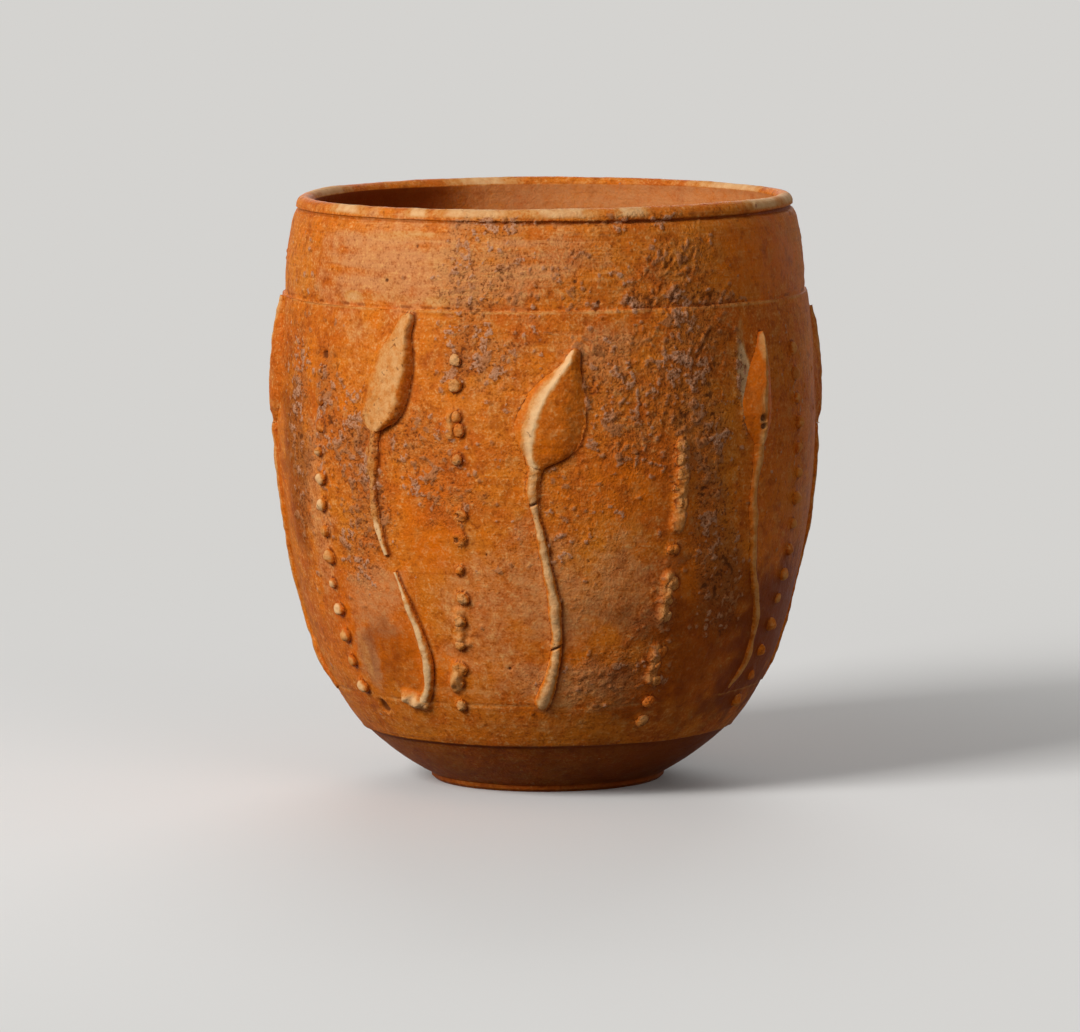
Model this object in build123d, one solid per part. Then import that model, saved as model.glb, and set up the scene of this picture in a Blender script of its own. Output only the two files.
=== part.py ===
from build123d import *
import math
import os

# A drinking cup of red earthenware: one wheel-thrown, thin-walled vessel without handles,
# and on its wall slip trailed by hand as leaves on winding stems, with a row of dots between them.
# Millimetres. The origin is the middle of the foot's underside, and +Z points up through the mouth.
# An azimuth is in degrees round the axis: 0 is the front (-Y), and it grows towards the right (+X).

# Vessel, heights
height = 95.0
band_height = 15.7
belly_below_ledge = 19.3
lower_line_z = 9.0
turn_above_line = 13.5
heel_height = 1.1

# Vessel, radii: the belly is the widest place, and the insets are measured in from it
belly_radius = 43.7
ledge_inset = 1.2
band_top_inset = 2.9
lip_inset = 3.6
turn_inset = 6.0
lower_line_inset = 13.5
foot_radius = 18.9

# Vessel, turned details
ledge_step = 0.45
lower_line_step = 0.45
under_bow_depth = 0.5
foot_edge = 0.5
band_shoulder = 4.0
lip_groove_below_rim = 2.1
lip_groove_depth = 0.4
lip_groove_width = 0.8
lip_thickness = 2.8
lip_rounding = 1.2

# Vessel, inside
wall = 2.8
floor_thickness = 4.2

# Leaves: drops of slip with a crest and a tip that was drawn out
leaf_length = 18.0
leaf_width = 9.5
leaf_height = 1.5
leaf_edge = 0.65
flank_bulge = 0.22

# Stems: trailed lines of slip, how far they wind, and how far above the lower line they end
stem_width = 1.75
stem_height = 0.85
stem_sway = 5.0
stem_foot_rise = 7.0

# Dots: single drops of slip in a row, and the row's two ends and its sway
dot_radius = 0.98
dot_rise = 0.8
dot_pitch = 4.1
dot_wander = 0.25
row_top_drop = 8.0
row_foot_rise = 6.0
row_sway = 2.5

# The hand's unevenness in a row: share of a dot's size, and radians from one dot to the next
dot_unevenness = 0.16
size_turn = 3.9
wander_turn = 2.4

# A crest's place when it is halfway across
middle = 0.5

# How deep a leaf is drawn into the wall before it is trimmed to the wall's surface
bed = 0.9

# How far a stem's or a dot's flat underside stands off the round wall where it is nearest
slip_clearance = 0.02

# How many sections a stem has between two of its points
fill_sections = 2

# Along a leaf from tip to neck: shares of its length, width and height
leaf_form = (
    (0.00, 0.07, 0.50),
    (0.14, 0.27, 0.75),
    (0.28, 0.58, 0.90),
    (0.45, 0.87, 0.98),
    (0.62, 1.00, 1.00),
    (0.76, 0.95, 0.97),
    (0.87, 0.68, 0.85),
    (0.95, 0.38, 0.72),
)

# Each leaf: tip and neck azimuth, then the tip's drop below the ledge and the length as shares of
# leaf_length, the width as a share of leaf_width, and the crest's place from 0, left, to 1, right
leaves = {
    "front": (6.4, -2.4, 0.33, 1.01, 1.12, 0.27),
    "front_right": (51.5, 50.0, 0.26, 0.99, 0.90, 0.40),
    "right": (91.5, 89.5, 0.16, 1.05, 0.97, 0.50),
    "back_right": (137.0, 132.0, 0.22, 1.02, 1.01, 0.35),
    "back": (181.0, 176.5, 0.29, 0.98, 1.05, 0.62),
    "back_left": (229.0, 225.0, 0.19, 1.04, 0.95, 0.45),
    "left": (279.0, 277.0, 0.01, 1.14, 0.99, 0.55),
    "front_left": (330.6, 322.2, 0.03, 1.03, 0.94, 0.80),
}

# Each stem's strokes, and a stroke's points from the leaf's neck down:
# share of stem_sway to the right, share of the way to the stem's foot, share of stem_width
stems = {
    "front": [
        [(0, 0, 1.5), (-0.06, 0.09, 1.2), (0.02, 0.19, 0.75), (0.18, 0.29, 0.9), (0.36, 0.42, 0.85),
         (0.56, 0.56, 1.1), (0.62, 0.71, 1.0), (0.48, 0.84, 1.05), (0.16, 0.97, 1.5), (0.08, 1.0, 0.9)],
    ],
    "front_right": [
        [(0, 0, 1.2), (-0.12, 0.12, 0.9), (-0.16, 0.22, 1.0), (0.04, 0.37, 1.05), (0.32, 0.52, 0.9),
         (0.8, 0.64, 0.85), (1.0, 0.77, 0.9), (0.88, 0.89, 0.9), (0.3, 1.0, 0.6)],
    ],
    "right": [
        [(0, 0, 1.2), (-0.16, 0.15, 0.9), (-0.12, 0.33, 1.0), (0.18, 0.5, 0.95), (0.44, 0.68, 0.9),
         (0.32, 0.85, 1.0), (-0.1, 0.98, 1.2), (-0.16, 1.0, 0.7)],
    ],
    "back_right": [
        [(0, 0, 1.3), (0.14, 0.15, 1.0), (0.08, 0.33, 0.85), (-0.28, 0.5, 1.0), (-0.56, 0.68, 0.9),
         (-0.4, 0.85, 1.0), (0.06, 0.98, 1.2), (0.12, 1.0, 0.7)],
    ],
    "back": [
        [(0, 0, 1.3), (-0.1, 0.15, 0.95), (0.1, 0.33, 1.0), (0.48, 0.5, 0.85), (0.68, 0.68, 1.0),
         (0.56, 0.85, 1.05), (0.14, 0.98, 1.3), (0.08, 1.0, 0.8)],
    ],
    "back_left": [
        [(0, 0, 1.2), (0.08, 0.15, 1.0), (-0.06, 0.31, 0.9), (-0.38, 0.48, 1.0), (-0.48, 0.66, 0.95),
         (-0.18, 0.84, 0.9), (0.44, 1.0, 0.6)],
    ],
    "left": [
        [(0, 0, 1.2), (0.18, 0.14, 1.0), (0.3, 0.31, 0.9), (0.16, 0.5, 1.0), (0.0, 0.69, 1.0),
         (0.26, 0.86, 0.9), (0.84, 1.0, 0.6)],
    ],
    "front_left": [
        [(0, 0, 1.0), (-0.1, 0.11, 1.15), (-0.14, 0.23, 0.75), (-0.06, 0.34, 0.9), (0.18, 0.45, 0.5)],
        [(0.42, 0.51, 0.3), (0.72, 0.62, 0.65), (1.0, 0.74, 0.85), (1.06, 0.84, 0.95), (0.88, 0.93, 1.0),
         (0.46, 0.99, 1.1), (0.0, 1.0, 0.9)],
    ],
}

# Each row of dots: azimuth, then the first dot's drop below the ledge as a share of row_top_drop, the
# last one's height above the lower line as a share of row_foot_rise, and shares of row_sway:
# the drift to the right at the foot and the bow at mid height
dot_rows = {
    "dot_row_1": (28.8, 2.7, 0.73, -0.52, -0.12),
    "dot_row_2": (64.3, 1.0, 0.93, -0.64, 1.04),
    "dot_row_3": (112.0, 1.07, 1.03, 0.48, -0.32),
    "dot_row_4": (157.0, 1.31, 0.97, -0.4, 0.36),
    "dot_row_5": (203.0, 0.95, 1.13, 0.32, 0.44),
    "dot_row_6": (252.0, 1.12, 1.0, -0.56, -0.24),
    "dot_row_7": (305.8, 1.36, 1.45, -0.24, -0.28),
    "dot_row_8": (340.6, 0.95, 1.2, -0.9, 0.5),
}

# Rows that aren't evenly spaced: each dot's place as a share of the way from the first to the last
uneven_rows = {
    "dot_row_1": (0, 0.05, 0.1, 0.15, 0.2, 0.28, 0.37, 0.49, 0.55, 0.61, 0.74, 0.79, 0.85, 0.93, 1),
    "dot_row_8": (0, 0.07, 0.16, 0.2, 0.28, 0.44, 0.51, 0.6, 0.68, 0.75, 0.82, 0.89, 0.93, 1),
}

# Heights and radii worked out from these
ledge_z = height - band_height
ledge_radius = belly_radius - ledge_inset
belly_z = ledge_z - belly_below_ledge
turn_z = lower_line_z + turn_above_line
turn_radius = belly_radius - turn_inset
lower_line_radius = belly_radius - lower_line_inset
lip_radius = belly_radius - lip_inset


def at(radius, z):
    """A point of the vessel's profile, which is drawn in the plane of X and Z."""
    return Vector(radius, 0, z)


# Vessel

# The decorated wall is three arcs, tangent to each other where they meet.
upper_belly = TangentArc(at(belly_radius, belly_z), at(ledge_radius, ledge_z), tangent=(0, 0, 1))
lower_belly = TangentArc(at(belly_radius, belly_z), at(turn_radius, turn_z), tangent=(0, 0, -1))
under_turn = TangentArc(
    at(turn_radius, turn_z), at(lower_line_radius, lower_line_z), tangent=lower_belly % 1
)


def bowed(start, end, rise):
    """An arc between two profile points that stands off its chord by rise, away from the axis."""
    along = (end - start).normalized()
    off = Vector(along.Z, 0, -along.X)
    return ThreePointArc(start, (start + end) / 2 + off * rise, end)


def outside_profile():
    """The outer edges, from the axis under the foot to the inner side of the lip."""
    foot_flat = at(foot_radius - foot_edge, 0)
    foot_side = at(foot_radius, foot_edge)
    heel = at(foot_radius, heel_height)
    set_back = at(lower_line_radius - lower_line_step, lower_line_z)
    band_foot = at(ledge_radius - ledge_step, ledge_z)
    band_top = at(belly_radius - band_top_inset, height - band_shoulder)
    band = TangentArc(band_foot, band_top, tangent=(0, 0, 1))
    groove_z = height - lip_groove_below_rim
    groove_low = at(lip_radius, groove_z - lip_groove_width / 2)
    groove_mid = at(lip_radius - lip_groove_depth, groove_z)
    groove_high = at(lip_radius, groove_z + lip_groove_width / 2)
    lip_out = at(lip_radius, height - lip_rounding)
    lip_top = at(lip_radius - lip_thickness / 2, height)
    lip_in = at(lip_radius - lip_thickness, height - lip_rounding)
    return [
        Line(at(0, 0), foot_flat),
        Line(foot_flat, foot_side),
        Line(foot_side, heel),
        bowed(heel, set_back, under_bow_depth),
        Line(set_back, at(lower_line_radius, lower_line_z)),
        under_turn,
        lower_belly,
        upper_belly,
        Line(at(ledge_radius, ledge_z), band_foot),
        band,
        TangentArc(band_top, groove_low, tangent=band % 1),
        ThreePointArc(groove_low, groove_mid, groove_high),
        Line(groove_high, lip_out),
        ThreePointArc(lip_out, lip_top, lip_in),
    ]


def pulled_in(arc, amount):
    """The end of an outer arc, moved towards the arc's centre by amount."""
    centre = arc.arc_center
    return centre + (arc @ 1 - centre).normalized() * (arc.radius - amount)


def inside_profile():
    """The inner edges, from the lip down to the axis on the floor, with an even wall."""
    lip_in = at(lip_radius - lip_thickness, height - lip_rounding)
    belly_in = at(belly_radius - wall, belly_z)
    turn_in = pulled_in(lower_belly, wall)
    line_in = pulled_in(under_turn, wall)
    under_in = TangentArc(turn_in, line_in, tangent=lower_belly % 1)
    heading = under_in % 1
    slope = math.atan2(-heading.Z, -heading.X)
    floor_sweep = (line_in.Z - floor_thickness) / (1 - math.cos(slope))
    floor_edge = at(line_in.X - floor_sweep * math.sin(slope), floor_thickness)
    return [
        TangentArc(belly_in, lip_in, tangent=(0, 0, 1)),
        TangentArc(belly_in, turn_in, tangent=(0, 0, -1)),
        under_in,
        TangentArc(line_in, floor_edge, tangent=heading),
        Line(floor_edge, at(0, floor_thickness)),
    ]


def revolved(edges):
    """The solid that a closed profile sweeps round the axis."""
    return revolve(Face(Wire(edges)), Axis.Z, 360)


def make_core():
    """The vessel as if it were full: what a leaf is trimmed to."""
    outside = outside_profile()
    rim_in = outside[-1] @ 1
    return revolved(outside + [Line(rim_in, at(0, rim_in.Z)), Line(at(0, rim_in.Z), at(0, 0))])


def make_thrown_body():
    """The thrown vessel: foot, wall, ledge, plain band, grooved lip, and the hollow."""
    return revolved(outside_profile() + inside_profile() + [Line(at(0, floor_thickness), at(0, 0))])


# The wall as the slip trailer meets it


def wall_at(z):
    """Radius of the decorated wall at height z, and its outward direction in the profile's plane."""
    if z > belly_z:
        arc = upper_belly
    elif z > turn_z:
        arc = lower_belly
    else:
        arc = under_turn
    centre = arc.arc_center
    reach = math.sqrt(arc.radius**2 - (z - centre.Z) ** 2)
    return centre.X + reach, Vector(reach, 0, z - centre.Z).normalized()


def on_wall(azimuth, z):
    """A point of the wall and the wall's outward direction there."""
    radius, out = wall_at(z)
    right, front = math.sin(math.radians(azimuth)), -math.cos(math.radians(azimuth))
    return Vector(radius * right, radius * front, z), Vector(out.X * right, out.X * front, out.Z)


def beside(azimuth, z, across):
    """The same for a place that lies some millimetres to the right of an azimuth."""
    return on_wall(azimuth + math.degrees(across / wall_at(z)[0]), z)


def section_planes(points):
    """A plane across the stroke at each point: X to the stroke's right as it runs down, Y off the wall."""
    planes = []
    for i, (place, out) in enumerate(points):
        before = points[max(i - 1, 0)][0]
        after = points[min(i + 1, len(points) - 1)][0]
        along = after - before
        along = (along - out * along.dot(out)).normalized()
        planes.append(Plane(origin=place, x_dir=out.cross(along), z_dir=along))
    return planes


# Slip


def wall_drop(offset):
    """How far the round wall falls away from its tangent at a sideways offset."""
    return belly_radius - math.sqrt(belly_radius**2 - offset**2)


def leaf_section(plane, width, rise, crest):
    """A leaf's cross-section: a steep edge on each side and two flanks that meet at the crest."""
    ridge_x = (crest - middle) * width
    ridge = Vector(ridge_x, rise - wall_drop(ridge_x))
    edge = min(leaf_edge, rise / 2) - wall_drop(width / 2)
    left, right = Vector(-width / 2, edge), Vector(width / 2, edge)
    left_foot, right_foot = Vector(-width / 2, -bed), Vector(width / 2, -bed)
    lift = Vector(0, flank_bulge * (ridge.Y - edge))
    return plane * Wire(
        [
            Line(left_foot, left),
            ThreePointArc(left, (left + ridge) / 2 + lift, ridge),
            ThreePointArc(ridge, (ridge + right) / 2 + lift, right),
            Line(right, right_foot),
            Line(right_foot, left_foot),
        ]
    )


def stem_section(plane, share):
    """A stem's cross-section: a round-backed bead with a flat underside, just off the wall."""
    half = stem_width * share / 2
    left, right = Vector(-half, slip_clearance), Vector(half, slip_clearance)
    back = Vector(0, stem_height * math.sqrt(share))
    return plane * Wire([ThreePointArc(left, back, right), Line(right, left)])


def make_leaf(name, planes, core):
    """One leaf, drawn from its tip down to its neck and trimmed to the wall."""
    _, _, _, _, breadth, crest = leaves[name]
    sections = [
        leaf_section(plane, leaf_width * breadth * wide, leaf_height * high, crest)
        for plane, (_, wide, high) in zip(planes, leaf_form)
    ]
    _, _, neck_share = stems[name][0][0]
    neck = leaf_section(planes[-1], stem_width * neck_share, stem_height, middle)
    return Solid.make_loft(sections + [neck]) - core


def between(before, start, end, after, t):
    """A number on the smooth curve from start to end, given its neighbours on both sides."""
    bend = 2 * before - 5 * start + 4 * end - after
    twist = 3 * (start - end) + after - before
    return start + t * (end - before + t * (bend + t * twist)) / 2


def filled_in(steps):
    """A stroke's points with more between them, on a smooth curve that passes through all of them."""
    ends = [steps[0]] + steps + [steps[-1]]
    filled = []
    for span in zip(ends, ends[1:], ends[2:], ends[3:]):
        for k in range(fill_sections + 1):
            t = k / (fill_sections + 1)
            filled.append(tuple(between(*numbers, t) for numbers in zip(*span)))
    return filled + [steps[-1]]


def make_stroke(planes, steps):
    """One trailed line."""
    return Solid.make_loft([stem_section(plane, step[2]) for plane, step in zip(planes, steps)])


def make_leaf_and_stem(name, core):
    """A leaf and its stem's strokes. The first stroke starts in the plane where the leaf ends."""
    tip_azimuth, neck_azimuth, drop, reach, _, _ = leaves[name]
    tip_z = ledge_z - leaf_length * drop
    neck_z = tip_z - leaf_length * reach
    way_down = neck_z - (lower_line_z + stem_foot_rise)
    leaf_points = [
        on_wall(tip_azimuth + (neck_azimuth - tip_azimuth) * along, tip_z - (tip_z - neck_z) * along)
        for along, _, _ in leaf_form
    ]
    stem_steps = [filled_in(steps) for steps in stems[name]]
    strokes = [
        [beside(neck_azimuth, neck_z - way_down * down, stem_sway * right) for right, down, _ in steps]
        for steps in stem_steps
    ]
    planes = section_planes(leaf_points + strokes[0])
    neck = len(leaf_points)
    leaf = make_leaf(name, planes[: neck + 1], core)
    stroke_planes = [planes[neck:]] + [section_planes(points) for points in strokes[1:]]
    stem = [make_stroke(across, steps) for across, steps in zip(stroke_planes, stem_steps)]
    return leaf, stem


def make_dot_row(name):
    """A row of single drops: evenly spaced, unless the row has its own places."""
    azimuth, drop, rise, drift, bow = dot_rows[name]
    top, foot = ledge_z - row_top_drop * drop, lower_line_z + row_foot_rise * rise
    steps = round((top - foot) / dot_pitch)
    shares = uneven_rows.get(name, [i / steps for i in range(steps + 1)])
    base_angle = math.degrees(math.asin(1 - dot_rise / dot_radius))
    dots = []
    for i, share in enumerate(shares):
        across = row_sway * (drift * share**2 + bow * 4 * share * (1 - share))
        across += dot_wander * math.sin(wander_turn * i + azimuth)
        place, out = beside(azimuth, top - share * (top - foot), across)
        size = 1 + dot_unevenness * math.cos(size_turn * i + azimuth)
        seated = (Align.CENTER, Align.CENTER, Align.MIN)
        cap = Sphere(dot_radius * size, arc_size1=base_angle, align=seated)
        dots.append(Plane(origin=place + out * slip_clearance, z_dir=out) * cap)
    return dots


def save(name, pieces):
    """One file for a node, with each of its pieces as a separate solid."""
    solids = [solid for piece in pieces for solid in piece.solids()]
    export_step(Compound(children=solids), f"parts/{name}.step")


def main():
    os.makedirs("parts", exist_ok=True)
    core = make_core()
    save("thrown_body", [make_thrown_body()])
    for name in leaves:
        leaf, stem = make_leaf_and_stem(name, core)
        save(f"leaf_{name}", [leaf])
        save(f"stem_{name}", stem)
    for name in dot_rows:
        save(name, make_dot_row(name))


main()
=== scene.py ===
import math

import bpy
import numpy as np
from mathutils import Matrix, Vector
from mathutils.kdtree import KDTree


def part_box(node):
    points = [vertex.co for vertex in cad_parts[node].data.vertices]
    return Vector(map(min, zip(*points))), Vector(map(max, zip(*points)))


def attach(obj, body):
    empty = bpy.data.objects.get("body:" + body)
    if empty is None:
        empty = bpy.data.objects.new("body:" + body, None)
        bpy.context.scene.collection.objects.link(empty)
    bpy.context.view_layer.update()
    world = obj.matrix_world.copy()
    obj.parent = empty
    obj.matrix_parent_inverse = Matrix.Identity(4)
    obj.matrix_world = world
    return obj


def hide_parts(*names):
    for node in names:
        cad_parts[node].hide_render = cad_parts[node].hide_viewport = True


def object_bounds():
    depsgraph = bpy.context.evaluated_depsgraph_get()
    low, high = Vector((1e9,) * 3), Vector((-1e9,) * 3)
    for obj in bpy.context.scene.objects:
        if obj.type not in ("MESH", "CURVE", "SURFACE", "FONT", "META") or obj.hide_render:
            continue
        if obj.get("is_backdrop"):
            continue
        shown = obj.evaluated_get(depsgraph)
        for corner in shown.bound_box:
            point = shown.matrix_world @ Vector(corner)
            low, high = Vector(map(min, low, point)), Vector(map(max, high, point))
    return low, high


# A slip-trailed earthenware cup: a finely turned body, with leaves, stems and dots of slip sunk into it.
# Its shapes are in millimetres. An azimuth is in degrees, from the front (-Y) towards the right (+X).

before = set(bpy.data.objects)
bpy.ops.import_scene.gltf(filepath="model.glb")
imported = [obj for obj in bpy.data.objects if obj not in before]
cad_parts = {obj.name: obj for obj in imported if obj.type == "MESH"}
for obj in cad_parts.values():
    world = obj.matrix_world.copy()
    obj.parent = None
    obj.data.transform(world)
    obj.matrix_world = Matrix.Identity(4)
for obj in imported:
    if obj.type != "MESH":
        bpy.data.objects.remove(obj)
cad_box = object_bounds()
mm = 0.001

# Vessel, from the frame
body_low, body_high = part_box("thrown_body")
height = (body_high.z - body_low.z) / mm
belly_radius = body_high.x / mm

# Vessel, heights and radii
band_height = 15.7
belly_below_ledge = 19.3
lower_line_z = 9.0
turn_above_line = 13.5
heel_height = 1.1
ledge_radius = belly_radius - 1.2
band_top_radius = belly_radius - 2.9
lip_radius = belly_radius - 3.6
turn_radius = belly_radius - 6.0
lower_line_radius = belly_radius - 13.5
foot_radius = 18.9
ledge_z = height - band_height
belly_z = ledge_z - belly_below_ledge
turn_z = lower_line_z + turn_above_line

# Vessel, turned details
ledge_step = 0.45
lower_line_step = 0.45
under_bow_depth = 0.5
foot_edge = 0.5
band_shoulder = 4.0
groove_below_rim = 2.1
groove_depth = 0.4
groove_width = 0.8
lip_thickness = 2.8
lip_rounding = 1.2
wall = 2.8
floor_thickness = 4.2

# Mesh of the body: columns round it, and the distance between rows on each kind of surface
columns = 1140
row_outside = 0.25
row_detail = 0.13
row_inside = 1.1

# Uneven clay: size, seed and height of its lumps, and how oval the wall is
clay_lumps = ((12, 1, 0.1), (4, 2, 0.05), (1.3, 3, 0.03), (0.7, 17, 0.02))
oval_rise = 0.12
oval_azimuth = 30

# Throwing lines: stretch and height of their noise, and the spiral inside
line_stretch = np.array([16, 16, 0.9])
line_rise = 0.012
band_line_rise = 0.028
spiral_pitch = 7.0
spiral_rise = 0.12

# Turned edges: their reach up and down, their waver, and how far the groove is filled
edge_reach = 0.5
lower_line_reach = 0.4
edge_waver = 0.1
groove_fill = 0.24

# Guide line above the lower line
guide_line_z = 16.1
guide_line_depth = 0.1
guide_line_width = 0.22
guide_line_waver = 0.3

# Crust: size, seed and share of its lumps, and the height or depth of what they form
crust_lumps = ((1.1, 9, 0.55), (0.6, 10, 0.5), (3.0, 12, 0.42))
fleck_rise = 0.1
lump_rise = 0.1
gap_depth = 0.06

# Blisters of crust: how many per square millimetre at full strength, and their size
blister_density = 0.22
blister_radius = (0.3, 0.7)
blister_height = 0.16
blister_seed = 11

# The coat round the slip: how it rises to it, and the painted shade line on its shaded side
skirt_rise = 0.16
skirt_reach = 0.45
shade_reach = 0.55

# Slip: its mesh, how deep it sinks into the wall, and the slices it is measured by
slip_voxel = 0.15
slip_smoothing = 6
slip_sink = 0.45
slice_height = 0.6

# Slip: its swelling and lumps, how a leaf is raised, and cracks across a stem
slip_swell = 0.1
dot_swell = 0.18
slip_lumps = ((1.5, 0.11), (0.5, 0.04))
stem_lumps = 0.22
dot_lumps = 0.2
leaf_lift = 1.3
leaf_dome = 0.8
leaf_round = 2.6
crack_depth = 0.55
crack_width = 0.22


# Noise


def hashed(cells, seed):
    """A number from 0 to 1 for each cell of a grid, the same on every run."""
    n = np.uint32(seed * 97531)
    for axis, factor in enumerate((374761393, 668265263, 2246822519)):
        n = n + cells[..., axis].astype(np.uint32) * np.uint32(factor)
    n = (n ^ (n >> np.uint32(13))) * np.uint32(1274126177)
    n = n ^ (n >> np.uint32(16))
    return n.astype(np.float64) / 2**32


tilt_x, tilt_y, tilt_z = (Matrix.Rotation(a, 3, axis) for a, axis in ((0.7, "X"), (0.5, "Y"), (0.9, "Z")))
tilt = np.array(tilt_x @ tilt_y @ tilt_z)


def noise(points, size, seed):
    """Smooth noise from about -1 to 1, with lumps of about that size."""
    spot = points @ tilt / size + seed * 17.3
    cell = np.floor(spot).astype(np.int64)
    part = spot - cell
    part = part * part * (3 - 2 * part)
    total = 0.0
    for corner in range(8):
        step = np.array([corner & 1, corner >> 1 & 1, corner >> 2 & 1])
        share = np.prod(np.where(step, part, 1 - part), axis=-1)
        total = total + share * hashed(cell + step, seed)
    return total * 2 - 1


def ease(low, high, value):
    """0 below low, 1 above high, smooth between; low may be the larger."""
    t = np.clip((value - low) / (high - low), 0, 1)
    return t * t * (3 - 2 * t)


def bell(off, power=2):
    """1 where off is 0, and less on both sides."""
    return np.exp(-(off**power))


# Profile of the vessel, as points of radius and height


def at(radius, z):
    return np.array([radius, z], float)


def left_of(heading):
    return np.array([-heading[1], heading[0]])


def straight(start, end, step):
    """Points from start to just before end."""
    count = max(1, round(np.linalg.norm(end - start) / step))
    return [start + (end - start) * i / count for i in range(count)]


def tangent_arc(start, end, heading, step):
    """Points on the arc that leaves start along heading, to just before end, and its heading there."""
    side = left_of(heading) / np.linalg.norm(heading)
    chord = end - start
    radius = chord @ chord / (2 * chord @ side)
    centre = start + side * radius
    first, last = (math.atan2(*(point - centre)[::-1]) for point in (start, end))
    sign = math.copysign(1, radius)
    sweep = sign * ((sign * (last - first)) % (2 * math.pi))
    count = max(2, round(abs(radius * sweep) / step))
    angles = [first + sweep * i / count for i in range(count)]
    points = [centre + abs(radius) * at(math.cos(a), math.sin(a)) for a in angles]
    return points, sign * at(-math.sin(last), math.cos(last))


def through(start, middle, end, step):
    """Points on the arc through three points, from start to just before end."""
    rows = np.array([middle - start, end - start])
    centre = start + np.linalg.solve(rows, (rows * rows).sum(1) / 2)
    heading = left_of(start - centre)
    if heading @ (middle - start) < 0:
        heading = -heading
    return tangent_arc(start, end, heading, step)[0]


def upwards(start, end, heading, step):
    """The same arc as tangent_arc, but from end to just before start."""
    return [end] + tangent_arc(start, end, heading, step)[0][:0:-1]


belly = at(belly_radius, belly_z)
ledge = at(ledge_radius, ledge_z)
turn = at(turn_radius, turn_z)
lower_line = at(lower_line_radius, lower_line_z)
lip_in = at(lip_radius - lip_thickness, height - lip_rounding)
up, down = at(0, 1), at(0, -1)
_, turn_heading = tangent_arc(belly, turn, down, row_outside)
_, line_heading = tangent_arc(turn, lower_line, turn_heading, row_outside)


def wall_rows(step):
    """The decorated wall, from the lower line to just below the ledge."""
    low, middle = upwards(turn, lower_line, turn_heading, step), upwards(belly, turn, down, step)
    return low + middle + tangent_arc(belly, ledge, up, step)[0]


def outside_rows():
    """From under the foot, up the wall and over the lip."""
    foot_flat = at(foot_radius - foot_edge, 0)
    foot_side = at(foot_radius, foot_edge)
    heel = at(foot_radius, heel_height)
    set_back = at(lower_line_radius - lower_line_step, lower_line_z)
    along = (set_back - heel) / np.linalg.norm(set_back - heel)
    bow = (heel + set_back) / 2 - left_of(along) * under_bow_depth
    band_foot = at(ledge_radius - ledge_step, ledge_z)
    band_top = at(band_top_radius, height - band_shoulder)
    band, band_heading = tangent_arc(band_foot, band_top, up, row_outside)
    groove_z = height - groove_below_rim
    groove_low = at(lip_radius, groove_z - groove_width / 2)
    groove_mid = at(lip_radius - groove_depth, groove_z)
    groove_high = at(lip_radius, groove_z + groove_width / 2)
    lip_out = at(lip_radius, height - lip_rounding)
    lip_top = at(lip_radius - lip_thickness / 2, height)
    return (
        straight(at(row_inside, 0), foot_flat, row_inside)
        + straight(foot_flat, foot_side, row_detail)
        + straight(foot_side, heel, row_detail)
        + through(heel, bow, set_back, row_outside)
        + straight(set_back, lower_line, row_detail)
        + wall_rows(row_outside)
        + straight(ledge, band_foot, row_detail)
        + band
        + tangent_arc(band_top, groove_low, band_heading, row_outside)[0]
        + through(groove_low, groove_mid, groove_high, row_detail)
        + straight(groove_high, lip_out, row_detail)
        + through(lip_out, lip_top, lip_in, row_detail * 2)
    )


def inside_rows():
    """From the lip down the inner wall to the middle of the floor."""
    belly_in = at(belly_radius - wall, belly_z)
    turn_in = turn - wall * left_of(turn_heading)
    line_in = lower_line - wall * left_of(line_heading)
    under, heading = tangent_arc(turn_in, line_in, turn_heading, row_inside)
    slope = math.atan2(-heading[1], -heading[0])
    sweep = (line_in[1] - floor_thickness) / (1 - math.cos(slope))
    floor_edge = at(line_in[0] - sweep * math.sin(slope), floor_thickness)
    return (
        upwards(belly_in, lip_in, up, row_inside)
        + tangent_arc(belly_in, turn_in, down, row_inside)[0]
        + under
        + tangent_arc(line_in, floor_edge, heading, row_inside)[0]
        + straight(floor_edge, at(0, floor_thickness), row_inside)
    )


def wall_radius(z):
    """Radius of the decorated wall at each height."""
    rows = np.array(wall_rows(row_detail) + [ledge])
    return np.interp(z, rows[:, 1], rows[:, 0])


# Mesh helpers


def new_thing(name, data):
    thing = bpy.data.objects.new(name, data)
    bpy.context.scene.collection.objects.link(thing)
    return thing


def new_piece(name, mesh, material):
    """A smooth object of one material."""
    mesh.shade_smooth()
    mesh.materials.clear()
    mesh.materials.append(material)
    return new_thing(name, mesh)


def new_object(name, points, quads, triangles, material):
    """An object from points in millimetres and arrays of corner numbers."""
    mesh = bpy.data.meshes.new(name)
    mesh.vertices.add(len(points))
    mesh.vertices.foreach_set("co", (points * mm).ravel())
    corners = np.concatenate([quads.ravel(), triangles.ravel()])
    sizes = np.repeat([4, 3], [len(quads), len(triangles)])
    mesh.loops.add(len(corners))
    mesh.loops.foreach_set("vertex_index", corners)
    mesh.polygons.add(len(sizes))
    mesh.polygons.foreach_set("loop_start", np.cumsum(sizes) - sizes)
    mesh.update(calc_edges=True)
    return new_piece(name, mesh, material)


def set_amounts(mesh, amounts):
    """Writes named amounts, one per point, for the materials to read."""
    for name, values in amounts.items():
        layer = mesh.attributes.new(name, "FLOAT", "POINT")
        layer.data.foreach_set("value", np.ascontiguousarray(values, np.float32).ravel())


def read(items, what, kind=np.int64, width=1):
    """A value, or a row of values, for each point, corner or face of a mesh."""
    values = np.zeros(len(items) * width, kind)
    items.foreach_get(what, values)
    return values.reshape(-1, width) if width > 1 else values


# Surface history: where the coat is worn, crusted, stained or glossy, and where light and shade are painted
# A patch is azimuth, height, half its width and half its height in millimetres, and strength

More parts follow.
